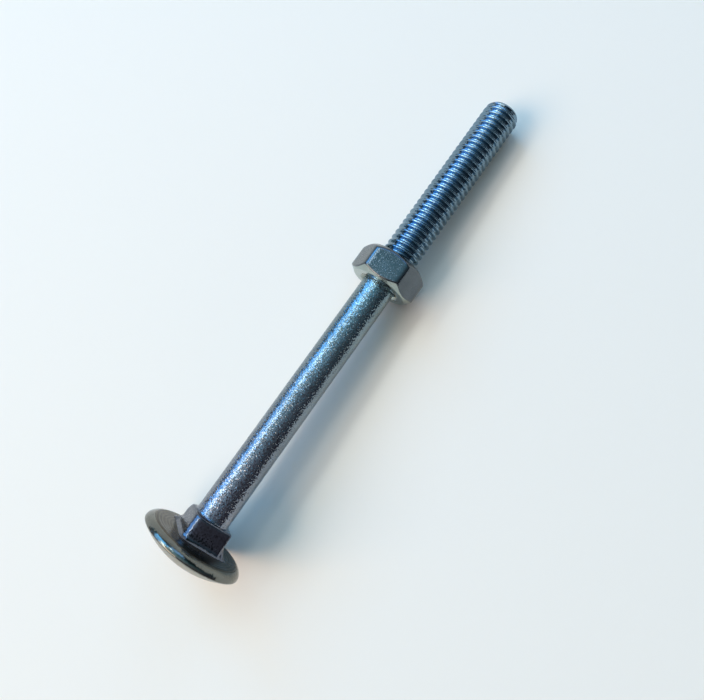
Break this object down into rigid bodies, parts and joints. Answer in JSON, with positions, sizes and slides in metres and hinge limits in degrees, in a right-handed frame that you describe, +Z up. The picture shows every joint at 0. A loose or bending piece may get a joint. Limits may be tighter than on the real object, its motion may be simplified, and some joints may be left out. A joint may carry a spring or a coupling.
{
  "type": "carriage bolt with hexagon nut",
  "caption": "Carriage bolt with a domed head, a square neck, a long plain shank and a fine thread, carrying a hexagon nut.",
  "frame": {"origin": "centre of the head's bearing face, on the bolt's axis", "axes": "+X runs along the lying bolt from the head to the tip, +Z is up. The bolt's own axis dips 3.36 degrees below +X towards the tip, because the part lies on the head's rim and the nut's lowest flat."},
  "size_m": [0.0836, 0.0156, 0.0157],
  "materials": {
    "bolt_steel": "bright zinc plating",
    "nut_steel": "bright zinc plating"
  },
  "bodies": {
    "bolt": {"bolt": "bolt_steel"},
    "nut": {"nut": "nut_steel"}
  },
  "joints": [
    {"name": "nut_travel", "type": "slide", "parent": "bolt", "child": "nut", "axis": [0.9983, 0, -0.0586], "range_m": [0, 0.028]}
  ]
}
